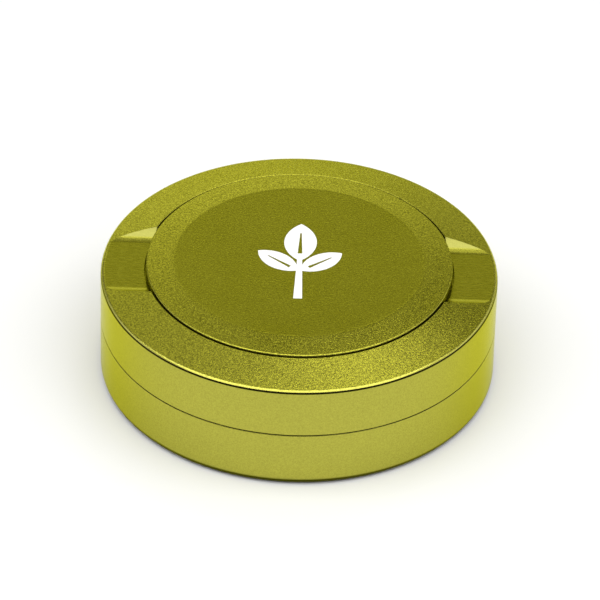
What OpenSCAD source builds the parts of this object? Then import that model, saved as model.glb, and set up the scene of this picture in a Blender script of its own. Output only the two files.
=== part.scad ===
// Puck-shaped hand grinder for dried herbs and spices.
//
// The base is a shallow collection cup. A perforated grinding plate drops into it. A top ring
// turns on the base over a polymer glide ring, and a round centre lid drops into the top ring.
// Diamond teeth hang from the lid and stand on the plate in alternate circles. Four dowels make
// the lid turn with the ring, and a pair of centre magnets holds the whole stack together.
//
// Millimetres, +Z up, origin at the centre of the underside. The finger notches face -X and +X.

/* [Body] */
// Outside diameter of the base and of the top ring
body_d = 63; // [62.5:0.1:64]
// Height of the parting line between the base and the top ring
seam_z = 9.7; // [9.4:0.1:10]
// Height of the top ring's outer corner, before it is rounded
rim_z = 18.2; // [18.15:0.05:18.6]
// Height of the top ring's inner edge, beside the lid
ring_top_z = 19.7; // [19.5:0.05:19.8]
// Rounding under the base
foot_round = 1; // [0.5:0.1:1.4]
// Rounding of the top ring's outer corner
rim_round = 0.5; // [0.2:0.05:0.8]
// Small chamfer on the turned corners inside
edge_break = 0.2; // [0.1:0.05:0.3]
// Smaller chamfer on both edges of the parting line
seam_break = 0.1; // [0.05:0.05:0.3]
// Gap between the base and the top ring at the parting line
seam_gap = 0.12; // [0.08:0.01:0.2]

/* [Centre lid] */
// Diameter of the centre lid
lid_d = 48.6; // [48.4:0.1:48.8]
// Height of the lid's outer edge
lid_edge_z = 19.9; // [19.8:0.05:19.95]
// Diameter of the lid's flat top, inside its broad bevel
lid_flat_d = 39.8; // [36:0.2:42]
// Height of the lid's flat top
lid_top_z = 20.3; // [20.2:0.05:20.6]
// Rounding of the lid's outer edge
lid_round = 0.25; // [0.1:0.05:0.4]
// Radial gap between the lid and the top ring
lid_gap = 0.3; // [0.2:0.05:0.35]
// Height of the seat that the lid rests on
seat_z = 17; // [16.8:0.1:17.2]

/* [Finger notches] */
// Width of each finger notch across its top, beside the lid
notch_w = 17.4; // [14:0.2:20]
// Height of the notch floor
notch_floor_z = 18.35; // [18.3:0.05:18.5]
// Radius of the rounded walls that rise from the notch floor
notch_round = 3.6; // [2:0.1:4]

/* [Collection cup] */
// Thickness of the base's floor
floor_t = 1.5; // [1.2:0.1:1.6]
// Inside diameter of the collection cup
cup_d = 54; // [50:0.5:54.4]
// Radius between the cup's floor and its wall
cup_round = 1; // [0.5:0.1:1.5]

/* [Grinding plate] */
// Diameter of the grinding plate
plate_d = 56.2; // [56:0.1:56.3]
// Height of the ledge that the plate rests on
ledge_z = 5.9; // [5.7:0.1:6]
// Thickness of the grinding plate
plate_t = 1.8; // [1.7:0.1:2]
// Diameter of the drop holes between the plate's teeth
drop_d = 3; // [2:0.1:3.2]

/* [Teeth] */
// Radius of the innermost circle of teeth
row_r = 7.1; // [6.9:0.1:7.2]
// Radial distance from one circle of teeth to the next
row_step = 2.45; // [2.35:0.05:2.45]
// Number of circles of teeth, shared between the lid and the plate
row_count = 6; // [2:1:6]
// Width of a tooth, across the circle
tooth_w = 2; // [1.4:0.1:2]
// Length of a tooth, along the circle, from point to point
tooth_l = 3.8; // [2.5:0.1:4]
// Longest distance from tooth to tooth along a circle
tooth_pitch = 7.6; // [7.4:0.1:9]
// Gap between the tips of the teeth and the face opposite
tip_gap = 0.4; // [0.3:0.05:0.8]

/* [Magnets and dowels] */
// Diameter of the two centre magnets
magnet_d = 8; // [6:0.5:8]
// Thickness of each centre magnet
magnet_t = 2.5; // [1.5:0.5:3]
// Diameter of the dowels that drive the lid
dowel_d = 1.5; // [1:0.1:1.5]
// Length of a dowel
dowel_l = 4.6; // [4:0.1:4.8]
// Number of dowels
dowel_count = 4; // [2:1:8]

/* [Seals and glide ring] */
// Section diameter of the lid's seal
lid_seal_d = 0.9; // [0.8:0.05:0.9]
// Section diameter of the plate's seal
plate_seal_d = 1; // [0.8:0.05:1]
// Running clearance of the glide ring, on the radius
running = 0.05; // [0.03:0.01:0.08]
// Wall thickness of the glide ring
glide_t = 0.8; // [0.7:0.05:0.9]

/* [Top mark] */
// Length of the leaf sprig set into the lid
mark_l = 20; // [12:0.5:24]
// Depth of the inlay
mark_t = 0.25; // [0.1:0.05:0.4]

/* [Hidden] */

$fn = 144;
round_steps = 8;     // flats in a turned rounding
vein_share = 0.14;   // width of a leaf's vein, as a share of the leaf's width
overlap = 0.3;       // how far a united shape is sunk into its neighbour
through = 1;         // how far a cut runs past a face

body_r = body_d / 2;
lid_r = lid_d / 2;
seat_r = lid_r + lid_gap;
ring_inner_r = seat_r + edge_break / 2;

// Lid plug and the bore of the top ring
bore_r = 22.3;
plug_r = 22.15;
plug_inner_r = 20.7;
plug_z = 15.2;
ceiling_z = 17.4;

// Grinding plate and its bore in the base
plate_r = plate_d / 2;
plate_bore_r = plate_r + 0.1;
plate_top_z = ledge_z + plate_t;

// Spigot of the base, the glide ring on it, and the groove of the top ring over both
spigot_r = 29.2;
spigot_z = 12.2;
glide_inner_r = spigot_r + running;
glide_outer_r = glide_inner_r + glide_t;
glide_bottom_z = 10.3;
glide_top_z = spigot_z + glide_t;
skirt_r = glide_outer_r + running;
ring_bottom_z = seam_z + seam_gap;
ring_wall_r = 24.8;
ring_wall_z = plate_top_z + 0.3;

// Centre bosses that hold the magnets
boss_r = 5.2;
magnet_gap = 0.6;
plate_magnet_z = 8.8;
lid_magnet_z = plate_magnet_z + magnet_t + magnet_gap;

// Seals sit in grooves, a little clear of the bores that they slide into
seal_clear = 0.05;
lid_seal_r = bore_r - seal_clear - lid_seal_d / 2;
lid_seal_z = 16.15;
plate_seal_r = plate_bore_r - seal_clear - plate_seal_d / 2;
plate_seal_z = ledge_z + plate_t / 2;
groove_side = 0.1;

// Dowels stand in the lid's seat
dowel_r = 23.25;
dowel_z = 14.2;
dowel_hole_d = dowel_d + 0.15;
dowel_hole_z = dowel_z + dowel_l + 0.3;

ring_slope = atan((ring_top_z - rim_z) / (body_r - ring_inner_r));
lid_slope = atan((lid_top_z - lid_edge_z) / (lid_r - lid_flat_d / 2));

// Points of an arc about c, from angle a0 to a1
function arc(c, r, a0, a1, n = round_steps) =
    [for (i = [0 : n]) let (a = a0 + (a1 - a0) * i / n) c + r * [cos(a), sin(a)]];

// Points that round a corner between a wall going up at radius r and a cone that falls outwards by slope
// to meet it at height z
function rounded_rim(r, z, slope, radius) =
    let (drop = radius * tan((90 - slope) / 2))
    arc([r - radius, z - drop], radius, 0, 90 - slope);

// Teeth in a circle of radius r
function teeth_in(r) = ceil(2 * PI * r / tooth_pitch);

function row_radius(i) = row_r + i * row_step;

// Turns an outline of [radius, height] points about Z
module turned(outline) {
    rotate_extrude() polygon(outline);
}

// Ring of round section
module round_ring(r, z, section_d) {
    translate([0, 0, z]) rotate_extrude() translate([r, 0]) circle(d = section_d, $fn = 32);
}

// Groove round the outside of a wall, for a seal of round section
module seal_groove(r, z, section_d, wall_r) {
    half = section_d / 2 + groove_side;
    turned([
        [r - section_d / 2 - seal_clear, z - half], [wall_r + through, z - half],
        [wall_r + through, z + half], [r - section_d / 2 - seal_clear, z + half],
    ]);
}

// One diamond tooth, standing on z = 0 with its sharp points along the circle
module tooth(height) {
    linear_extrude(height)
        polygon([[-tooth_w / 2, 0], [0, -tooth_l / 2], [tooth_w / 2, 0], [0, tooth_l / 2]]);
}

// Every second circle of teeth, starting with circle number first
module tooth_rows(first, height) {
    for (row = [first : 2 : row_count - 1]) {
        r = row_radius(row);
        n = teeth_in(r);
        for (k = [0 : n - 1]) rotate(360 * k / n) translate([r, 0, 0]) tooth(height);
    }
}

// Drop holes, one between each two neighbours in every circle of the plate's teeth
module drop_holes() {
    for (row = [1 : 2 : row_count - 1]) {
        r = row_radius(row);
        n = teeth_in(r);
        for (k = [0 : n - 1]) rotate(360 * (k + 0.5) / n)
            translate([r, 0, ledge_z - through]) cylinder(d = drop_d, h = plate_t + 2 * through);
    }
}

// Channel across the top ring that makes both finger notches: a flat floor between two rounded walls
module notch_channel() {
    depth = ring_top_z - notch_floor_z;
    floor_half = notch_w / 2 - sqrt(notch_round * notch_round - pow(notch_round - depth, 2));
    centre_z = notch_floor_z + notch_round;
    half = floor_half + notch_round;
    outline = concat(
        arc([floor_half, centre_z], notch_round, -90, 0, 2 * round_steps),
        [[half, centre_z + through], [-half, centre_z + through]],
        arc([-floor_half, centre_z], notch_round, 180, 270, 2 * round_steps)
    );
    rotate([90, 0, 90]) linear_extrude(body_d + 2 * through, center = true) polygon(outline);
}

// Where dowel number i stands
module at_dowel(i, z) {
    rotate(360 * (i - 0.5) / dowel_count) translate([dowel_r, 0, z]) children();
}

// Leaf of length l and width w with an open vein, its base at the origin and its tip along +Y
module leaf(l, w) {
    arc_r = (l * l + w * w) / (4 * w);
    vein = w * vein_share / 2;
    difference() {
        translate([0, l / 2]) intersection() {
            translate([arc_r - w / 2, 0]) circle(r = arc_r);
            translate([w / 2 - arc_r, 0]) circle(r = arc_r);
        }
        polygon([[-vein, l * 0.2], [vein, l * 0.2], [vein / 3, l * 0.75], [-vein / 3, l * 0.75]]);
    }
}

// Outline of the leaf sprig, centred on the origin
module sprig() {
    foot = mark_l * 0.035;
    neck = mark_l * 0.02;
    leaf(mark_l / 2, mark_l * 0.26);
    for (side = [-1, 1]) translate([side * neck / 2, -mark_l * 0.13])
        rotate(-side * 52) leaf(mark_l * 0.41, mark_l * 0.2);
    polygon([[-foot, -mark_l / 2], [foot, -mark_l / 2], [neck, mark_l * 0.03], [-neck, mark_l * 0.03]]);
}

// Lower shell: collection cup, plate ledge and the spigot that the top ring turns on
module base_cup() {
    color([0.62, 0.61, 0.16]) turned(concat(
        [[0, 0]],
        arc([body_r - foot_round, foot_round], foot_round, -90, 0),
        [
            [body_r, seam_z - seam_break], [body_r - seam_break, seam_z],
            [spigot_r, seam_z], [spigot_r, spigot_z - edge_break],
            [spigot_r - edge_break, spigot_z], [plate_bore_r + edge_break, spigot_z],
            [plate_bore_r, spigot_z - edge_break], [plate_bore_r, ledge_z],
            [cup_d / 2, ledge_z],
        ],
        arc([cup_d / 2 - cup_round, floor_t + cup_round], cup_round, 0, -90),
        [[0, floor_t]]
    ));
}

// Loose plate with drop holes, upward teeth and the lower magnet's boss
module grinding_plate() {
    color([0.62, 0.61, 0.16]) difference() {
        union() {
            turned([
                [0, ledge_z], [plate_r - edge_break, ledge_z], [plate_r, ledge_z + edge_break],
                [plate_r, plate_top_z - edge_break], [plate_r - edge_break, plate_top_z],
                [boss_r, plate_top_z], [boss_r, plate_magnet_z + magnet_t - edge_break],
                [boss_r - edge_break, plate_magnet_z + magnet_t], [0, plate_magnet_z + magnet_t],
            ]);
            translate([0, 0, plate_top_z - overlap])
                tooth_rows(1, ceiling_z - tip_gap - plate_top_z + overlap);
        }
        seal_groove(plate_seal_r, plate_seal_z, plate_seal_d, plate_r);
        drop_holes();
        translate([0, 0, plate_magnet_z]) cylinder(d = magnet_d, h = magnet_t + through);
    }
}

// Elastic ring that keeps the plate snug in the base
module plate_seal() {
    color([0.08, 0.08, 0.08]) round_ring(plate_seal_r, plate_seal_z, plate_seal_d);
}

// Magnet in the plate's boss
module plate_magnet() {
    color([0.75, 0.75, 0.78]) translate([0, 0, plate_magnet_z]) cylinder(d = magnet_d, h = magnet_t);
}

// Low-friction ring between the spigot and the top ring
module glide_ring() {
    color([0.93, 0.92, 0.88]) turned([
        [glide_inner_r, glide_bottom_z], [glide_outer_r, glide_bottom_z],
        [glide_outer_r, glide_top_z], [plate_bore_r + 0.1, glide_top_z],
        [plate_bore_r + 0.1, spigot_z], [glide_inner_r, spigot_z],
    ]);
}

// Upper shell: turning ring with the lid's seat, the finger notches and the chamber wall
module top_ring() {
    color([0.62, 0.61, 0.16]) difference() {
        turned(concat(
            [
                [bore_r, ring_wall_z], [ring_wall_r, ring_wall_z], [ring_wall_r, glide_top_z],
                [skirt_r, glide_top_z], [skirt_r, ring_bottom_z + seam_break],
                [skirt_r + seam_break, ring_bottom_z], [body_r - seam_break, ring_bottom_z],
                [body_r, ring_bottom_z + seam_break],
            ],
            rounded_rim(body_r, rim_z, ring_slope, rim_round),
            [
                [ring_inner_r, ring_top_z], [seat_r, ring_top_z - edge_break / 2],
                [seat_r, seat_z], [bore_r, seat_z],
            ]
        ));
        notch_channel();
        for (i = [1 : dowel_count]) at_dowel(i, dowel_z) cylinder(d = dowel_d, h = dowel_l, $fn = 32);
    }
}

// Steel dowel that makes the lid turn with the top ring
module drive_dowel(i) {
    color([0.7, 0.7, 0.72]) at_dowel(i, dowel_z) cylinder(d = dowel_d, h = dowel_l, $fn = 32);
}

// Lift-out lid: bevelled disc, seal plug, downward teeth and the upper magnet's boss
module centre_lid() {
    color([0.62, 0.61, 0.16]) difference() {
        union() {
            turned(concat(
                [
                    [0, lid_magnet_z], [boss_r - edge_break, lid_magnet_z],
                    [boss_r, lid_magnet_z + edge_break], [boss_r, ceiling_z],
                    [plug_inner_r, ceiling_z], [plug_inner_r, plug_z],
                    [plug_r - edge_break, plug_z], [plug_r, plug_z + edge_break],
                    [plug_r, seat_z], [lid_r - edge_break, seat_z], [lid_r, seat_z + edge_break],
                ],
                rounded_rim(lid_r, lid_edge_z, lid_slope, lid_round),
                [[lid_flat_d / 2, lid_top_z], [0, lid_top_z]]
            ));
            translate([0, 0, plate_top_z + tip_gap])
                tooth_rows(0, ceiling_z - plate_top_z - tip_gap + overlap);
        }
        seal_groove(lid_seal_r, lid_seal_z, lid_seal_d, plug_r);
        translate([0, 0, lid_magnet_z - through]) cylinder(d = magnet_d, h = magnet_t + through);
        for (i = [1 : dowel_count]) at_dowel(i, seat_z - through)
            cylinder(d = dowel_hole_d, h = dowel_hole_z - seat_z + through, $fn = 32);
        translate([0, 0, lid_top_z - mark_t]) linear_extrude(mark_t + through) sprig();
    }
}

// Elastic ring round the lid's plug
module lid_seal() {
    color([0.08, 0.08, 0.08]) round_ring(lid_seal_r, lid_seal_z, lid_seal_d);
}

// Magnet in the lid's boss
module lid_magnet() {
    color([0.75, 0.75, 0.78]) translate([0, 0, lid_magnet_z]) cylinder(d = magnet_d, h = magnet_t);
}

// White inlay in the lid's top face
module lid_mark() {
    color([0.96, 0.96, 0.97]) translate([0, 0, lid_top_z - mark_t]) linear_extrude(mark_t) sprig();
}

base_cup();
grinding_plate();
plate_seal();
plate_magnet();
glide_ring();
top_ring();
for (i = [1 : dowel_count])
    drive_dowel(i);
centre_lid();
lid_seal();
lid_magnet();
lid_mark();
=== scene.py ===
import math

import bmesh
import bpy
from mathutils import Matrix, Vector


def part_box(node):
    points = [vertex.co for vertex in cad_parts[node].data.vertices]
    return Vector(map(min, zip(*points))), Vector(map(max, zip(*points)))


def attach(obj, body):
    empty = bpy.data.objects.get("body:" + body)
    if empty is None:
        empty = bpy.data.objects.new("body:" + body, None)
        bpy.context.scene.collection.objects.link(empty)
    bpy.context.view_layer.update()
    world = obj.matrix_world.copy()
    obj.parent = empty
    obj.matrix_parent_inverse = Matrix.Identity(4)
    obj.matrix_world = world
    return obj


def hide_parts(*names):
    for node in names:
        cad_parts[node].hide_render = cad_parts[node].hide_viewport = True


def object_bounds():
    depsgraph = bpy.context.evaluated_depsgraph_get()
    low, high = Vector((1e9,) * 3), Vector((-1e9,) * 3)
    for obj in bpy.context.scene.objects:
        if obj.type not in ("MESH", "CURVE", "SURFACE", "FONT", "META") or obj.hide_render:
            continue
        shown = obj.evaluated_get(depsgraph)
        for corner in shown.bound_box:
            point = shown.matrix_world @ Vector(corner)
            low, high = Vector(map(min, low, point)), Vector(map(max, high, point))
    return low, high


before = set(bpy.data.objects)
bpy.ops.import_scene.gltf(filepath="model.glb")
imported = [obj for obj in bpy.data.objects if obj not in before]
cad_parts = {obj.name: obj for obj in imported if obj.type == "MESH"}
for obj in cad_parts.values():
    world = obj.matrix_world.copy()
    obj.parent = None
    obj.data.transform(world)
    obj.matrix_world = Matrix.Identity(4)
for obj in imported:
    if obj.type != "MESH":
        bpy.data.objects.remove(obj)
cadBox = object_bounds()
print("frame loaded:", ", ".join(sorted(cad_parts)))

mm = 0.001
nearby = 0.002 * mm          # two places this close are the same
turnSteps = 192              # steps in a full turn of the large pieces
smoothBelow = math.radians(28)


def newMaterial(name, **values):
    material = bpy.data.materials.new(name)
    material.use_nodes = True
    shader = material.node_tree.nodes["Principled BSDF"]
    for socket, value in values.items():
        shader.inputs[socket].default_value = value
    return material, shader


def node(material, kind, **values):
    made = material.node_tree.nodes.new(kind)
    for name, value in values.items():
        if name in made.inputs:
            made.inputs[name].default_value = value
        else:
            setattr(made, name, value)
    return made


def link(material, *pairs):
    for source, target in pairs:
        material.node_tree.links.new(source, target)


def feed(material, socket, value):
    # value is a number, a colour or another node's output
    if isinstance(value, bpy.types.NodeSocket):
        link(material, (value, socket))
    elif socket.type == "RGBA":
        socket.default_value = (*value, 1)
    else:
        socket.default_value = value


def mapped(material, source, fromMin, fromMax, toMin, toMax):
    spread = node(material, "ShaderNodeMapRange")
    ends = {"From Min": fromMin, "From Max": fromMax, "To Min": toMin, "To Max": toMax}
    for socket, value in ends.items():
        spread.inputs[socket].default_value = value
    link(material, (source, spread.inputs["Value"]))
    return spread.outputs["Result"]


def varied(material, grain, low, high):
    # a noise mostly stays between these two, so they stand for low and high
    usualLow, usualHigh = 0.3, 0.7
    return mapped(material, grain, usualLow, usualHigh, low, high)


def arithmetic(material, operation, first, second):
    made = node(material, "ShaderNodeMath", operation=operation)
    feed(material, made.inputs[0], first)
    feed(material, made.inputs[1], second)
    return made.outputs[0]


def times(material, first, second):
    return arithmetic(material, "MULTIPLY", first, second)


def plus(material, first, second):
    return arithmetic(material, "ADD", first, second)


def tinted(material, colour, factor):
    # the colour, lighter or darker by the factor
    made = node(material, "ShaderNodeVectorMath", operation="SCALE")
    feed(material, made.inputs[0], colour)
    feed(material, made.inputs["Scale"], factor)
    return made.outputs["Vector"]


def mixed(material, factor, low, high):
    # low where the factor is 0 and high where it is 1, for numbers and for colours
    isColour = isinstance(high, tuple)
    mix = node(material, "ShaderNodeMix", data_type="RGBA" if isColour else "FLOAT")
    kind = "Color" if isColour else "Float"
    ends = {socket.identifier: socket for socket in mix.inputs}
    feed(material, ends["A_" + kind], low)
    feed(material, ends["B_" + kind], high)
    feed(material, ends["Factor_Float"], factor)
    return {socket.identifier: socket for socket in mix.outputs}["Result_" + kind]


def objectCoordinates(material):
    return node(material, "ShaderNodeTexCoord").outputs["Object"]


fineDetail = 3.0             # levels of detail in the finer noises


def noise(material, coordinates, size, detail=2.0, roughness=0.5):
    made = node(material, "ShaderNodeTexNoise", Scale=1 / size, Detail=detail, Roughness=roughness)
    link(material, (coordinates, made.inputs["Vector"]))
    return made.outputs["Fac"]


def bump(material, shader, height, depth):
    made = node(material, "ShaderNodeBump", Strength=1.0, Distance=depth)
    link(material, (height, made.inputs["Height"]), (made.outputs["Normal"], shader.inputs["Normal"]))


def aboutAxis(material, at):
    # the distance from the turning axis, and the height
    place = node(material, "ShaderNodeSeparateXYZ")
    flat = node(material, "ShaderNodeVectorMath", operation="MULTIPLY")
    flat.inputs[1].default_value = (1, 1, 0)
    radius = node(material, "ShaderNodeVectorMath", operation="LENGTH")
    link(
        material,
        (at, place.inputs[0]),
        (at, flat.inputs[0]),
        (flat.outputs["Vector"], radius.inputs[0]),
    )
    return radius.outputs["Value"], place.outputs["Z"]


# the anodised finish, with the painted highlight and painted shade bands laid over it
anodised = {
    "olive": (0.395, 0.381, 0.04),         # on the blasted top faces
    "sideOlive": (0.41, 0.396, 0.06),      # on the smoother side
    "paintedHighlightOlive": (0.53, 0.51, 0.09),       # painted highlight on the rim's and lid's sharp edges
    # painted shade in the parting line, a painted dark reflection under the rim and a painted shadow along
    # the foot
    "darkOlive": (0.03, 0.029, 0.005),     # painted shade, as said above
    "glare": (1.0, 1.0, 0.4, 1.0),         # what the colour turns to at a grazing angle
    # each painted highlight band and painted shade band: from and to this height, outside this radius, and
    # the width it fades over, in millimetres
    # painted highlight bands: the rim's and the lid's rounded edges
    "paintedHighlightBands": ((18.1, 18.6, 31.08, 0.05), (19.87, 21.0, 24.2, 0.06)),
    # painted shade bands: under the rim, in the parting line and along the foot
    "darkBands": ((17.8, 18.02, 31.0, 0.05), (9.67, 9.87, 29.0, 0.03), (-1.0, 0.95, 29.0, 0.35)),
    "topFrom": 18.15 * mm,                 # heights between which the side's finish turns into the top's
    "topTo": 18.3 * mm,
    "roughness": 0.25,
    "sideRoughness": 0.22,
    "cloudSize": 9 * mm,                   # patches of slightly uneven gloss
    "cloudRoughness": 0.015,
    "grainSize": 0.27 * mm,
    "grainBreak": 0.65,
    "grainDepth": 0.042 * mm,
    "sideGrainDepth": 0.01 * mm,
    "grainTint": 0.52,
    "sideGrainTint": 0.14,
    "discRadius": 19.9 * mm,               # the grain is finer inside this circle
    "discFade": 0.4 * mm,
    "discGrain": 0.48,
}


def oliveShader(name):
    material, shader = newMaterial(name, Metallic=1.0)
    shader.inputs["Specular Tint"].default_value = anodised["glare"]
    return material, shader


def blastGrain(material, at):
    return noise(material, at, anodised["grainSize"], fineDetail, anodised["grainBreak"])


def insideBands(material, radius, height, bands):
    # 1 on the bands and 0 elsewhere
    total = 0.0
    for low, high, inner, fade in bands:
        above = mapped(material, height, (low - fade) * mm, low * mm, 0, 1)
        below = mapped(material, height, high * mm, (high + fade) * mm, 1, 0)
        outside = mapped(material, radius, inner * mm, (inner + fade) * mm, 0, 1)
        total = plus(material, times(material, times(material, above, below), outside), total)
    return total


def blastedMetal():
    # bead blasting under the anodised colour: coarse on the top faces, fine on the side, a little
    # uneven in gloss; with a painted highlight on the rim's and lid's edges, and painted shade in the
    # parting line, a painted dark reflection under the rim and a painted shadow along the foot
    material, shader = oliveShader("blastedOliveWithPaintedLight")
    at = objectCoordinates(material)
    radius, height = aboutAxis(material, at)
    top = mapped(material, height, anodised["topFrom"], anodised["topTo"], 0, 1)
    edge, fade = anodised["discRadius"], anodised["discFade"]
    outward = mapped(material, radius, edge - fade, edge + fade, anodised["discGrain"], 1)
    grain = blastGrain(material, at)

    olive = mixed(material, top, anodised["sideOlive"], anodised["olive"])
    # lays the painted highlight bands, then the painted shade bands, over the olive
    for kind in ("paintedHighlight", "dark"):
        bands = insideBands(material, radius, height, anodised[kind + "Bands"])
        olive = mixed(material, bands, olive, anodised[kind + "Olive"])
    contrast = mixed(material, top, anodised["sideGrainTint"], anodised["grainTint"])
    contrast = times(material, outward, contrast)
    speck = plus(material, times(material, varied(material, grain, -1, 1), contrast), 1.0)

    cloud = noise(material, at, anodised["cloudSize"], fineDetail)
    uneven = varied(material, cloud, -anodised["cloudRoughness"], anodised["cloudRoughness"])
    rough = mixed(material, top, anodised["sideRoughness"], anodised["roughness"])
    link(
        material,
        (tinted(material, olive, speck), shader.inputs["Base Color"]),
        (plus(material, rough, uneven), shader.inputs["Roughness"]),
    )
    depth = anodised["grainDepth"]
    relief = times(material, grain, mixed(material, top, anodised["sideGrainDepth"] / depth, 1.0))
    bump(material, shader, times(material, relief, outward), depth)
    return material


latheRings = {
    "width": 0.12 * mm,
    "depth": 0.004 * mm,
    "tint": (0.9, 1.1),
    "roughness": (0.22, 0.3),
}


def turnedMetal(rings):
    # rings left by the lathe, which only show inside
    material, shader = oliveShader("turnedOlive")
    radius, height = aboutAxis(material, objectCoordinates(material))
    join = node(material, "ShaderNodeCombineXYZ")
    link(material, (radius, join.inputs["X"]), (height, join.inputs["Y"]))
    lines = noise(material, join.outputs[0], rings["width"])
    link(
        material,
        (tinted(material, anodised["olive"], varied(material, lines, *rings["tint"])),
         shader.inputs["Base Color"]),
        (varied(material, lines, *rings["roughness"]), shader.inputs["Roughness"]),
    )
    bump(material, shader, lines, rings["depth"])
    return material


cutterMarks = {
    "floorOlive": (0.39, 0.376, 0.04),
    # painted light: the walls' darker, paler olive stands in for the way light falls on them
    "paintedLightWallOlive": (0.32, 0.311, 0.07),
    "wallFrom": 18.55 * mm,
    "wallFade": 0.15 * mm,
    "width": 0.3 * mm,
    "stretch": (0.25, 1.0, 1.0),     # the marks run along X
    "depth": 0.007 * mm,
    "usual": (0.7, 1.3),             # what marks and grain add up to, mostly
    "tint": (0.93, 1.07),
    "roughness": (0.24, 0.3),
}


def milledMetal(cut):
    # the cutter's marks along the finger notches, with painted light on the walls:
    # a darker, paler olive than the floor's
    material, shader = oliveShader("milledOliveWithPaintedLight")
    at = objectCoordinates(material)
    stretch = node(material, "ShaderNodeMapping", Scale=cut["stretch"])
    place = node(material, "ShaderNodeSeparateXYZ")
    link(material, (at, stretch.inputs["Vector"]), (at, place.inputs[0]))
    marks = noise(material, stretch.outputs["Vector"], cut["width"])
    surface = plus(material, marks, blastGrain(material, at))
    foot = cut["wallFrom"]
    wall = mapped(material, place.outputs["Z"], foot, foot + cut["wallFade"], 0, 1)
    # the walls above wallFrom take the painted light colour
    colour = mixed(material, wall, cut["floorOlive"], cut["paintedLightWallOlive"])
    speck = mapped(material, surface, *cut["usual"], *cut["tint"])
    link(
        material,
        (tinted(material, colour, speck), shader.inputs["Base Color"]),
        (varied(material, marks, *cut["roughness"]), shader.inputs["Roughness"]),
    )
    bump(material, shader, surface, cut["depth"])
    return material


plainFinishes = {
    "whiteFill": {
        "colour": (0.96, 0.96, 0.97), "roughness": 0.4, "metallic": 0.0,
        "grain": 0.4 * mm, "depth": 0.002 * mm, "spread": 0.02,
    },
    "glidePolymer": {
        "colour": (0.82, 0.8, 0.74), "roughness": 0.45, "metallic": 0.0,
        "grain": 0.5 * mm, "depth": 0.003 * mm, "spread": 0.03,
    },
    "sealRubber": {
        "colour": (0.02, 0.02, 0.021), "roughness": 0.5, "metallic": 0.0,
        "grain": 0.25 * mm, "depth": 0.004 * mm, "spread": 0.2,
    },
    "magnetNickel": {
        "colour": (0.62, 0.6, 0.56), "roughness": 0.2, "metallic": 1.0,
        "grain": 0.6 * mm, "depth": 0.001 * mm, "spread": 0.05,
    },
    "dowelSteel": {
        "colour": (0.55, 0.55, 0.56), "roughness": 0.25, "metallic": 1.0,
        "grain": 0.2 * mm, "depth": 0.002 * mm, "spread": 0.05,
    },
}
glossPatch = 2 * mm          # size of the patches of uneven gloss on the plain finishes
glossSpread = 0.04


def plainFinish(name):
    # a colour that varies a little, with a fine grain
    finish = plainFinishes[name]
    material, shader = newMaterial(name, Metallic=finish["metallic"])
    at = objectCoordinates(material)
    grain = noise(material, at, finish["grain"], fineDetail)
    shade = varied(material, grain, 1 - finish["spread"], 1 + finish["spread"])
    gloss = noise(material, at, glossPatch)
    rough = varied(material, gloss, finish["roughness"] - glossSpread, finish["roughness"] + glossSpread)
    link(
        material,
        (tinted(material, finish["colour"], shade), shader.inputs["Base Color"]),
        (rough, shader.inputs["Roughness"]),
    )
    bump(material, shader, grain, finish["depth"])
    return material


blasted = blastedMetal()
turnedFinish = turnedMetal(latheRings)
milled = milledMetal(cutterMarks)
small = {name: plainFinish(name) for name in plainFinishes}
print("materials made")


def circleEdges(bm, radius, height):
    def onCircle(vert):
        return abs(vert.co.xy.length - radius) < nearby and abs(vert.co.z - height) < nearby
    return [edge for edge in bm.edges if all(onCircle(vert) for vert in edge.verts)]


def breakEdges(bm, edges, width, segments=2):
    # a rounded edge, or a chamfer where segments is 1
    bmesh.ops.bevel(
        bm, geom=edges, offset=width, offset_type="OFFSET", affect="EDGES",
        segments=segments, profile=0.5, material=-1,
    )


def turned(corners, steps=turnSteps):
    # corners are (radius, height, width of the broken edge, its segments), in millimetres
    bm = bmesh.new()
    verts = [bm.verts.new((corner[0] * mm, 0, corner[1] * mm)) for corner in corners]
    solid = corners[0][0] == 0
    ends = verts[1:] if solid else verts[1:] + verts[:1]
    edges = [bm.edges.new(pair) for pair in zip(verts, ends)]
    bmesh.ops.spin(
        bm, geom=verts + edges, cent=(0, 0, 0), axis=(0, 0, 1),
        angle=2 * math.pi, steps=steps, use_merge=True,
    )
    bmesh.ops.remove_doubles(bm, verts=bm.verts, dist=nearby)
    bmesh.ops.recalc_face_normals(bm, faces=bm.faces)
    for radius, height, width, segments in corners:
        if width:
            breakEdges(bm, circleEdges(bm, radius * mm, height * mm), width * mm, segments)
    return bm


def rod(diameter, bottom, top, broken, segments=48):
    # an upright round bar at the origin, in millimetres
    bm = bmesh.new()
    bmesh.ops.create_cone(
        bm, cap_ends=True, segments=segments, radius1=diameter / 2 * mm, radius2=diameter / 2 * mm,
        depth=(top - bottom) * mm,
    )
    bmesh.ops.translate(bm, verts=bm.verts, vec=(0, 0, (top + bottom) / 2 * mm))
    if broken:
        rims = [circleEdges(bm, diameter / 2 * mm, height * mm) for height in (bottom, top)]
        breakEdges(bm, rims[0] + rims[1], broken * mm)
    return bm


def asObject(bm, name="loose"):
    mesh = bpy.data.meshes.new(name)
    bm.to_mesh(mesh)
    bm.free()
    made = bpy.data.objects.new(name, mesh)
    bpy.context.scene.collection.objects.link(made)
    return made


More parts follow.
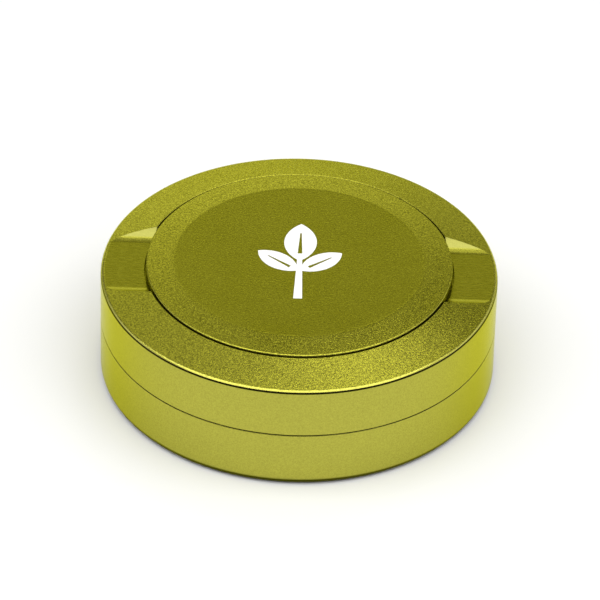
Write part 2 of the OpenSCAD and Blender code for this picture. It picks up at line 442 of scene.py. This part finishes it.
def combined(bm, tool, operation):
    # both solids as one, by an applied Boolean
    target = asObject(bm)
    other = asObject(tool)
    boolean = target.modifiers.new("combine", "BOOLEAN")
    boolean.object = other
    boolean.operation = operation
    boolean.solver = "EXACT"
    shown = target.evaluated_get(bpy.context.evaluated_depsgraph_get())
    result = bmesh.new()
    result.from_mesh(shown.to_mesh())
    shown.to_mesh_clear()
    for done in (target, other):
        bpy.data.meshes.remove(done.data)
    bmesh.ops.remove_doubles(result, verts=result.verts, dist=nearby / 4)
    return result


def around(bm, count):
    # repeats everything in bm evenly about the turning axis
    bmesh.ops.spin(
        bm, geom=bm.verts[:] + bm.edges[:] + bm.faces[:], cent=(0, 0, 0), axis=(0, 0, 1),
        angle=2 * math.pi * (count - 1) / count, steps=count - 1, use_duplicate=True,
    )
    return bm


def gathered(parts):
    # several bmeshes as one
    whole = bmesh.new()
    for part in parts:
        mesh = bpy.data.meshes.new("part")
        part.to_mesh(mesh)
        part.free()
        whole.from_mesh(mesh)
        bpy.data.meshes.remove(mesh)
    return whole


def addTo(body, slotName, nodeName, name, bm, *materials, paint=None):
    # paint gives the number of a face's material from its middle, in millimetres
    for face in bm.faces:
        face.smooth = True
        if paint:
            face.material_index = paint(face.calc_center_median() / mm)
    for edge in bm.edges:
        turnsFinish = len({face.material_index for face in edge.link_faces}) > 1
        edge.smooth = edge.calc_face_angle(math.pi) < smoothBelow and not turnsFinish
    piece = asObject(bm, name)
    for material in materials:
        piece.data.materials.append(material)
    even = piece.modifiers.new("evenShading", "WEIGHTED_NORMAL")
    even.keep_sharp = True
    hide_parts(nodeName)
    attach(piece, body)


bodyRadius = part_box("base_cup")[1].x / mm

baseShape = {
    "seam": 9.7,
    "seamBreak": 0.15,
    "footRound": 1.3,
    "spigotRadius": 29.2,
    "spigotTop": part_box("base_cup")[1].z / mm,
    "boreRadius": 28.2,
    "ledge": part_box("grinding_plate")[0].z / mm,
    "cupRadius": 27.0,
    "cupRound": 1.0,
    "floor": 1.5,
    "broken": 0.2,
    # the lathe's rings show above turnedFrom and inside turnedRadius
    "turnedFrom": 1.2,
    "turnedRadius": 29.3,
}


def makeBase(shape):
    bm = turned([
        (0, 0, 0, 0),
        (bodyRadius, 0, shape["footRound"], 8),
        (bodyRadius, shape["seam"], shape["seamBreak"], 4),
        (shape["spigotRadius"], shape["seam"], 0, 0),
        (shape["spigotRadius"], shape["spigotTop"], shape["broken"], 2),
        (shape["boreRadius"], shape["spigotTop"], shape["broken"], 2),
        (shape["boreRadius"], shape["ledge"], 0, 0),
        (shape["cupRadius"], shape["ledge"], shape["broken"] / 2, 1),
        (shape["cupRadius"], shape["floor"], shape["cupRound"], 6),
        (0, shape["floor"], 0, 0),
    ])

    def finish(middle):
        return 1 if middle.z > shape["turnedFrom"] and middle.xy.length < shape["turnedRadius"] else 0

    addTo("base", "anodised_shell", "base_cup", "baseShell", bm, blasted, turnedFinish, paint=finish)


ringShape = {
    "bottom": 9.86,
    "seamBreak": 0.06,
    "rim": 18.2,
    "rimRound": 0.5,
    "inner": 19.7,
    "innerBreak": 0.1,
    "seatRadius": 24.6,
    "seat": 17.0,
    "boreRadius": 22.3,
    "wallBottom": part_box("top_ring")[0].z / mm,
    "wallRadius": 24.8,
    "grooveTop": 13.0,
    "skirtRadius": 30.1,
    "broken": 0.15,
    "boreBroken": 0.1,
    "innerSoft": 0.03,
    "notchWidth": 17.4,
    "notchFloor": 18.35,
    "notchRound": 3.6,
    "notchSegments": 32,
    "channelLength": 80.0,
    "channelHeight": 6.0,
    # the lathe's rings show inside turnedRadius below turnedTop, and on the seat's own wall
    "turnedRadius": 30.15,
    "turnedTop": 17.1,
    "seatTurned": 24.62,
}

holeSegments = 32

dowels = {
    "circle": 23.25,
    "diameter": 1.5,
    "bottom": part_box("drive_dowel_1")[0].z / mm,
    "top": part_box("drive_dowel_1")[1].z / mm,
    "socketDiameter": 1.51,
    "holeDiameter": 1.65,
    "holeTop": 19.1,
    "broken": 0.2,
    "count": 4,
}


def dowelHoles(diameter, bottom, top):
    hole = rod(diameter, bottom, top, 0, holeSegments)
    bmesh.ops.translate(hole, verts=hole.verts, vec=(dowels["circle"] * mm, 0, 0))
    bmesh.ops.rotate(
        hole, verts=hole.verts, cent=(0, 0, 0), matrix=Matrix.Rotation(math.pi / dowels["count"], 3, "Z"),
    )
    return around(hole, dowels["count"])


def makeRing(shape):
    bm = turned([
        (shape["boreRadius"], shape["wallBottom"], shape["broken"], 2),
        (shape["wallRadius"], shape["wallBottom"], shape["broken"], 2),
        (shape["wallRadius"], shape["grooveTop"], 0, 0),
        (shape["skirtRadius"], shape["grooveTop"], 0, 0),
        (shape["skirtRadius"], shape["bottom"], shape["seamBreak"], 2),
        (bodyRadius, shape["bottom"], shape["seamBreak"], 2),
        (bodyRadius, shape["rim"], shape["rimRound"], 8),
        (shape["seatRadius"] + shape["innerBreak"], shape["inner"], shape["innerSoft"], 1),
        (shape["seatRadius"], shape["inner"] - shape["innerBreak"], shape["innerSoft"], 1),
        (shape["seatRadius"], shape["seat"], 0, 0),
        (shape["boreRadius"], shape["seat"], shape["boreBroken"], 1),
    ])
    # both finger notches are one channel with rounded walls, cut right across
    rounding = shape["notchRound"]
    floor = shape["notchFloor"]
    depth = shape["inner"] - floor
    floorHalf = shape["notchWidth"] / 2 - math.sqrt(rounding ** 2 - (rounding - depth) ** 2)
    channel = bmesh.new()
    bmesh.ops.create_cube(channel, size=1)
    size = Vector((shape["channelLength"], 2 * (floorHalf + rounding), shape["channelHeight"]))
    bmesh.ops.scale(channel, verts=channel.verts, vec=size * mm)
    bmesh.ops.translate(channel, verts=channel.verts, vec=(0, 0, (floor + shape["channelHeight"] / 2) * mm))
    low = [
        edge for edge in channel.edges
        if all(abs(vert.co.z - floor * mm) < nearby for vert in edge.verts)
        and abs(edge.verts[0].co.y - edge.verts[1].co.y) < nearby
    ]
    breakEdges(channel, low, rounding * mm, shape["notchSegments"])
    bm = combined(bm, channel, "DIFFERENCE")
    sockets = dowelHoles(dowels["socketDiameter"], dowels["bottom"], dowels["top"])
    bm = combined(bm, sockets, "DIFFERENCE")

    slope = (shape["inner"] - shape["rim"]) / (bodyRadius - shape["seatRadius"] - shape["innerBreak"])
    margin = 0.01
    coneMargin = 0.004

    def finish(middle):
        outward = middle.xy.length
        cone = shape["rim"] + (bodyRadius - outward) * slope
        underCone = floor - margin < middle.z < cone - coneMargin
        outsideSeat = outward > shape["seatRadius"] + margin
        if abs(middle.y) < shape["notchWidth"] / 2 and underCone and outsideSeat:
            return 2
        inside = outward < shape["turnedRadius"] and middle.z < shape["turnedTop"]
        return 1 if inside or outward < shape["seatTurned"] else 0

    addTo("top", "anodised_shell", "top_ring", "ringShell", bm, blasted, turnedFinish, milled, paint=finish)


makeBase(baseShape)
makeRing(ringShape)
print("shells made")


teeth = {
    "rows": (7.1, 9.55, 12.0, 14.45, 16.9, 19.35),
    "width": 2.0,
    "length": 3.8,
    "pitch": 7.6,
    "broken": 0.12,
    "sunk": 0.3,
}


def toothCount(radius):
    return math.ceil(2 * math.pi * radius / teeth["pitch"])


def toothRing(radius, bottom, top, tipUp):
    # one circle of diamond teeth, with the long way of the diamond along the circle
    tooth = bmesh.new()
    bmesh.ops.create_cone(
        tooth, cap_ends=True, segments=4, radius1=mm, radius2=mm, depth=(top - bottom) * mm,
    )
    bmesh.ops.scale(tooth, verts=tooth.verts, vec=(teeth["width"] / 2, teeth["length"] / 2, 1))
    bmesh.ops.translate(tooth, verts=tooth.verts, vec=(radius * mm, 0, (top + bottom) / 2 * mm))
    tip = (top if tipUp else bottom) * mm
    rising = [edge for edge in tooth.edges if abs(edge.verts[0].co.z - edge.verts[1].co.z) > nearby]
    tipEdges = [edge for edge in tooth.edges if all(abs(vert.co.z - tip) < nearby for vert in edge.verts)]
    breakEdges(tooth, rising + tipEdges, teeth["broken"] * mm)
    return around(tooth, toothCount(radius))


# the play round a magnet and behind it, and above and inside a seal in its groove, in millimetres
magnetPlay = 0.02
magnetDepthPlay = 0.01
sealPlay = 0.1
sealInnerPlay = 0.05
overshoot = 1.0              # how far a cutter reaches past what it cuts


def sealGroove(shape):
    # half the groove's height, and the radius of its floor
    half = shape["sealSection"] / 2
    return half + sealPlay, shape["sealRadius"] - half - sealInnerPlay


plateShape = {
    "radius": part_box("grinding_plate")[1].x / mm,
    "bottom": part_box("grinding_plate")[0].z / mm,
    "top": 7.7,
    "toothTop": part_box("grinding_plate")[1].z / mm,
    "bossRadius": 5.2,
    "bossTop": 11.3,
    "magnetBottom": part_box("plate_magnet")[0].z / mm,
    "magnetDiameter": 8.0,
    "sealRadius": 27.65,
    "sealHeight": 6.8,
    "sealSection": 1.0,
    "dropDiameter": 3.0,
    "broken": 0.2,
    "filleted": 0.3,
}


def makePlate(shape):
    side, grooveRadius = sealGroove(shape)
    pocketRadius = shape["magnetDiameter"] / 2 + magnetPlay
    bm = turned([
        (0, shape["bottom"], 0, 0),
        (shape["radius"], shape["bottom"], shape["broken"], 2),
        (shape["radius"], shape["sealHeight"] - side, 0, 0),
        (grooveRadius, shape["sealHeight"] - side, 0, 0),
        (grooveRadius, shape["sealHeight"] + side, 0, 0),
        (shape["radius"], shape["sealHeight"] + side, 0, 0),
        (shape["radius"], shape["top"], shape["broken"], 2),
        (shape["bossRadius"], shape["top"], shape["filleted"], 3),
        (shape["bossRadius"], shape["bossTop"], shape["broken"], 3),
        (pocketRadius, shape["bossTop"], 0, 0),
        (pocketRadius, shape["magnetBottom"] - magnetDepthPlay, 0, 0),
        (0, shape["magnetBottom"] - magnetDepthPlay, 0, 0),
    ])
    rows = teeth["rows"][1::2]
    bottom = shape["top"] - teeth["sunk"]
    bm = combined(bm, gathered([toothRing(row, bottom, shape["toothTop"], True) for row in rows]), "UNION")
    holes = []
    for row in rows:
        hole = rod(
            shape["dropDiameter"], shape["bottom"] - overshoot, shape["top"] + overshoot, 0, holeSegments,
        )
        bmesh.ops.translate(hole, verts=hole.verts, vec=(row * mm, 0, 0))
        bmesh.ops.rotate(
            hole, verts=hole.verts, cent=(0, 0, 0),
            matrix=Matrix.Rotation(math.pi / toothCount(row), 3, "Z"),
        )
        holes.append(around(hole, toothCount(row)))
    bm = combined(bm, gathered(holes), "DIFFERENCE")
    addTo("plate", "anodised_shell", "grinding_plate", "toothedPlate", bm, turnedFinish)


lidShape = {
    "radius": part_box("centre_lid")[1].x / mm,
    "edge": 19.9,
    "edgeRound": 0.228,
    "flatRadius": 19.9,
    "flatRound": 0.12,
    "top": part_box("centre_lid")[1].z / mm,
    "seat": 17.0,
    "plugRadius": 22.15,
    "plugInner": 20.7,
    "plugBottom": 15.2,
    "ceiling": 17.4,
    "bossRadius": 5.2,
    "magnetBottom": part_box("lid_magnet")[0].z / mm,
    "magnetTop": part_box("lid_magnet")[1].z / mm,
    "magnetDiameter": 8.0,
    "toothTip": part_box("centre_lid")[0].z / mm,
    "sealRadius": 21.8,
    "sealHeight": 16.15,
    "sealSection": 0.9,
    "broken": 0.2,
    "filleted": 0.3,
    # blasted above blastedFrom on the outer wall, and all over above blastedAbove
    "blastedFrom": 17.1,
    "blastedWall": 0.3,
    "blastedAbove": 19.5,
}


def markCutter():
    # the inlay's own outline, made taller so that it cuts through the lid's face
    cutter = bmesh.new()
    cutter.from_mesh(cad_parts["lid_mark"].data)
    bmesh.ops.remove_doubles(cutter, verts=cutter.verts, dist=nearby)
    middle = sum(vert.co.z for vert in cutter.verts) / len(cutter.verts)
    upper = [vert for vert in cutter.verts if vert.co.z > middle]
    bmesh.ops.translate(cutter, verts=upper, vec=(0, 0, mm))
    return cutter


def makeLid(shape):
    side, grooveRadius = sealGroove(shape)
    pocketRadius = shape["magnetDiameter"] / 2 + magnetPlay
    bm = turned([
        (0, shape["magnetTop"] + magnetDepthPlay, 0, 0),
        (pocketRadius, shape["magnetTop"] + magnetDepthPlay, 0, 0),
        (pocketRadius, shape["magnetBottom"], 0, 0),
        (shape["bossRadius"], shape["magnetBottom"], shape["broken"], 3),
        (shape["bossRadius"], shape["ceiling"], shape["filleted"], 3),
        (shape["plugInner"], shape["ceiling"], shape["filleted"], 3),
        (shape["plugInner"], shape["plugBottom"], shape["broken"], 2),
        (shape["plugRadius"], shape["plugBottom"], shape["broken"], 2),
        (shape["plugRadius"], shape["sealHeight"] - side, 0, 0),
        (grooveRadius, shape["sealHeight"] - side, 0, 0),
        (grooveRadius, shape["sealHeight"] + side, 0, 0),
        (shape["plugRadius"], shape["sealHeight"] + side, 0, 0),
        (shape["plugRadius"], shape["seat"], 0, 0),
        (shape["radius"], shape["seat"], shape["broken"], 2),
        (shape["radius"], shape["edge"], shape["edgeRound"], 5),
        (shape["flatRadius"], shape["top"], shape["flatRound"], 2),
        (0, shape["top"], 0, 0),
    ])
    top = shape["ceiling"] + teeth["sunk"]
    rings = [toothRing(row, shape["toothTip"], top, False) for row in teeth["rows"][::2]]
    bm = combined(bm, gathered(rings), "UNION")
    holes = dowelHoles(dowels["holeDiameter"], shape["seat"] - overshoot, dowels["holeTop"])
    bm = combined(bm, holes, "DIFFERENCE")
    bm = combined(bm, markCutter(), "DIFFERENCE")

    def finish(middle):
        onWall = middle.xy.length > shape["radius"] - shape["blastedWall"]
        blastedHere = middle.z > shape["blastedFrom"] and onWall or middle.z > shape["blastedAbove"]
        return 0 if blastedHere else 1

    addTo("lid", "anodised_shell", "centre_lid", "lidDisc", bm, blasted, turnedFinish, paint=finish)


makePlate(plateShape)
makeLid(lidShape)
print("plate and lid made")


glideShape = {
    "innerRadius": 29.25,
    "outerRadius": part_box("glide_ring")[1].x / mm,
    "bottom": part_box("glide_ring")[0].z / mm,
    "top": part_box("glide_ring")[1].z / mm,
    "lipRadius": 28.3,
    "lipBottom": 12.2,
    "broken": 0.15,
}


def makeGlide(shape):
    bm = turned([
        (shape["innerRadius"], shape["bottom"], shape["broken"], 2),
        (shape["outerRadius"], shape["bottom"], shape["broken"], 2),
        (shape["outerRadius"], shape["top"], shape["broken"], 2),
        (shape["lipRadius"], shape["top"], shape["broken"], 2),
        (shape["lipRadius"], shape["lipBottom"], shape["broken"], 2),
        (shape["innerRadius"], shape["lipBottom"], 0, 0),
    ])
    addTo("glide", "glide_polymer", "glide_ring", "glideRing", bm, small["glidePolymer"])


sealSegments = 20


def makeSeal(name, nodeName, body, shape):
    radius, height, section = shape["sealRadius"], shape["sealHeight"], shape["sealSection"]
    bm = bmesh.new()
    bmesh.ops.create_circle(bm, segments=sealSegments, radius=section / 2 * mm)
    bmesh.ops.rotate(bm, verts=bm.verts, cent=(0, 0, 0), matrix=Matrix.Rotation(math.pi / 2, 3, "X"))
    bmesh.ops.translate(bm, verts=bm.verts, vec=(radius * mm, 0, height * mm))
    bmesh.ops.spin(
        bm, geom=bm.verts[:] + bm.edges[:], cent=(0, 0, 0), axis=(0, 0, 1),
        angle=2 * math.pi, steps=turnSteps, use_merge=True,
    )
    bmesh.ops.recalc_face_normals(bm, faces=bm.faces)
    addTo(body, "seal_rubber", nodeName, name, bm, small["sealRubber"])


magnetBroken = 0.25
magnetSegments = 96


def makeMagnet(name, nodeName, body, shape):
    low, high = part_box(nodeName)
    bm = rod(shape["magnetDiameter"], low.z / mm, high.z / mm, magnetBroken, magnetSegments)
    addTo(body, "magnet_nickel", nodeName, name, bm, small["magnetNickel"])


def makeDowels():
    for number in range(dowels["count"]):
        bm = rod(dowels["diameter"], dowels["bottom"], dowels["top"], dowels["broken"])
        turn = 2 * math.pi * (number + 0.5) / dowels["count"]
        bmesh.ops.translate(bm, verts=bm.verts, vec=(dowels["circle"] * mm, 0, 0))
        bmesh.ops.rotate(bm, verts=bm.verts, cent=(0, 0, 0), matrix=Matrix.Rotation(turn, 3, "Z"))
        which = str(number + 1)
        addTo("top", "dowel_steel", "drive_dowel_" + which, "dowel" + which, bm, small["dowelSteel"])


makeGlide(glideShape)
makeSeal("plateSeal", "plate_seal", "plate", plateShape)
makeSeal("lidSeal", "lid_seal", "lid", lidShape)
makeMagnet("plateMagnet", "plate_magnet", "plate", plateShape)
makeMagnet("lidMagnet", "lid_magnet", "lid", lidShape)
makeDowels()
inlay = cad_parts["lid_mark"]
inlay.data.materials.clear()
inlay.data.materials.append(small["whiteFill"])
print("small pieces made")


studio = {
    "floorWhite": 0.94,
    "floorReach": 8.0,
    # the wall's brightness and its share of blue, by the sine of the height above the horizon
    "wallByHeight": (
        (0.0, 0.6, 1.0), (0.12, 0.85, 1.4), (0.3, 0.75, 1.6), (0.42, 1.85, 1.3), (0.5, 0.9, 0.2),
        (0.6, 0.2, 0.1), (0.8, 0.15, 0.2), (0.92, 0.3, 0.7), (1.0, 0.3, 1.0),
    ),
    # its share from the near side, -1, to the far side, 1
    "wallByDepth": ((-1.0, 0.6), (-0.3, 0.4), (0.1, 1.0), (1.0, 1.0)),
    # and from the left, -1, to the right, 1
    "wallAcross": (
        (-0.95, 0.9), (-0.75, 0.5), (-0.55, 0.12), (-0.4, 0.5), (-0.3, 0.85), (0.0, 1.0), (0.16, 0.5),
        (0.5, 0.45), (0.9, 0.9),
    ),
    # a dark flag low on the near side: its place, the cosines of its outer and inner edges, its level
    "flag": (Vector((-0.41, -0.885, 0.22)), 0.77, 0.92, 0.06),
    # radiance, size and place of each softbox
    "softboxes": {
        "overhead": (2.05, (3.0, 1.6), Vector((0.0, -0.49, 1.15))),
        "right": (2.4, (0.34, 0.34), Vector((0.24, 0.64, 1.17))),
        "left": (0.55, (0.5, 0.6), Vector((-0.4, 0.8, 1.05))),
    },
}

view = {
    "distance": 0.8337,
    "azimuth": math.radians(0.9),
    "elevation": math.radians(37.24),
    "roll": math.radians(1.54),
    "lens": 311.25,
    "aimOffset": Vector((0.00018, 0.0033, 0)),
}


def makeFloor():
    bm = bmesh.new()
    bmesh.ops.create_grid(bm, x_segments=1, y_segments=1, size=studio["floorReach"])
    floor = asObject(bm, "floor")
    material, shader = newMaterial("paleFloor", Roughness=0.6)
    white = studio["floorWhite"]
    shader.inputs["Base Color"].default_value = (white, white, white, 1)
    floor.data.materials.append(material)


def ramp(material, value, low, high, points):
    # follows the points as the value goes from low to high; a point is a place and its grey or colour
    made = node(material, "ShaderNodeValToRGB")
    elements = made.color_ramp.elements
    elements.remove(elements[0])
    for number, (place, *level) in enumerate(points):
        position = (place - low) / (high - low)
        if number:
            element = elements.new(position)
        else:
            element = elements[0]
            element.position = position
        element.color = (*level, 1) if len(level) == 3 else (level[0], level[0], level[0], 1)
    link(material, (mapped(material, value, low, high, 0, 1), made.inputs[0]))
    return made.outputs["Color"]


def makeRoom():
    # what the metal sees: a pale wall on the far side with dark above it, and a dimmer near side;
    # the camera itself sees plain white
    world = bpy.data.worlds.new("room")
    bpy.context.scene.world = world
    world.use_nodes = True
    direction = node(world, "ShaderNodeTexCoord")
    split = node(world, "ShaderNodeSeparateXYZ")
    link(world, (direction.outputs["Generated"], split.inputs[0]))
    rising = [(sine, level, level, level * blue) for sine, level, blue in studio["wallByHeight"]]
    height = ramp(world, split.outputs["Z"], 0, 1, rising)
    depth = ramp(world, split.outputs["Y"], -1, 1, studio["wallByDepth"])
    across = ramp(world, split.outputs["X"], -1, 1, studio["wallAcross"])
    place, outer, inner, dark = studio["flag"]
    towards = node(world, "ShaderNodeVectorMath", operation="DOT_PRODUCT")
    towards.inputs[1].default_value = place
    link(world, (direction.outputs["Generated"], towards.inputs[0]))
    flag = mapped(world, towards.outputs["Value"], outer, inner, 1, dark)
    wall = tinted(world, height, times(world, times(world, depth, across), flag))
    camera = node(world, "ShaderNodeLightPath")
    seen = mixed(world, camera.outputs["Is Camera Ray"], wall, (1.0, 1.0, 1.0))
    link(world, (seen, world.node_tree.nodes["Background"].inputs["Color"]))


def makeLights():
    for name, (radiance, size, place) in studio["softboxes"].items():
        light = bpy.data.lights.new(name + "Softbox", "AREA")
        light.shape = "RECTANGLE"
        light.size, light.size_y = size
        light.energy = radiance * math.pi * size[0] * size[1]
        lamp = bpy.data.objects.new(name + "Softbox", light)
        lamp.location = place
        if name != "overhead":
            lamp.rotation_euler = (-place).to_track_quat("-Z", "Y").to_euler()
        bpy.context.scene.collection.objects.link(lamp)


def makeCamera():
    low, high = cadBox
    middle = (low + high) / 2
    ground = Vector((middle.x, middle.y, low.z))
    turn, lift = view["azimuth"], view["elevation"]
    away = Vector((math.sin(turn) * math.cos(lift), -math.cos(turn) * math.cos(lift), math.sin(lift)))
    camera = bpy.data.objects.new("camera", bpy.data.cameras.new("camera"))
    camera.data.lens = view["lens"]
    camera.data.clip_start = 0.01
    camera.location = ground + away * view["distance"]
    aim = (middle + view["aimOffset"] - camera.location).to_track_quat("-Z", "Y")
    roll = Matrix.Rotation(view["roll"], 4, "Z").to_quaternion()
    camera.rotation_mode = "QUATERNION"
    camera.rotation_quaternion = aim @ roll
    bpy.context.scene.collection.objects.link(camera)
    bpy.context.scene.camera = camera


makeFloor()
makeRoom()
makeLights()
makeCamera()
bpy.context.scene.view_settings.view_transform = "Standard"
print("floor, light and camera made")
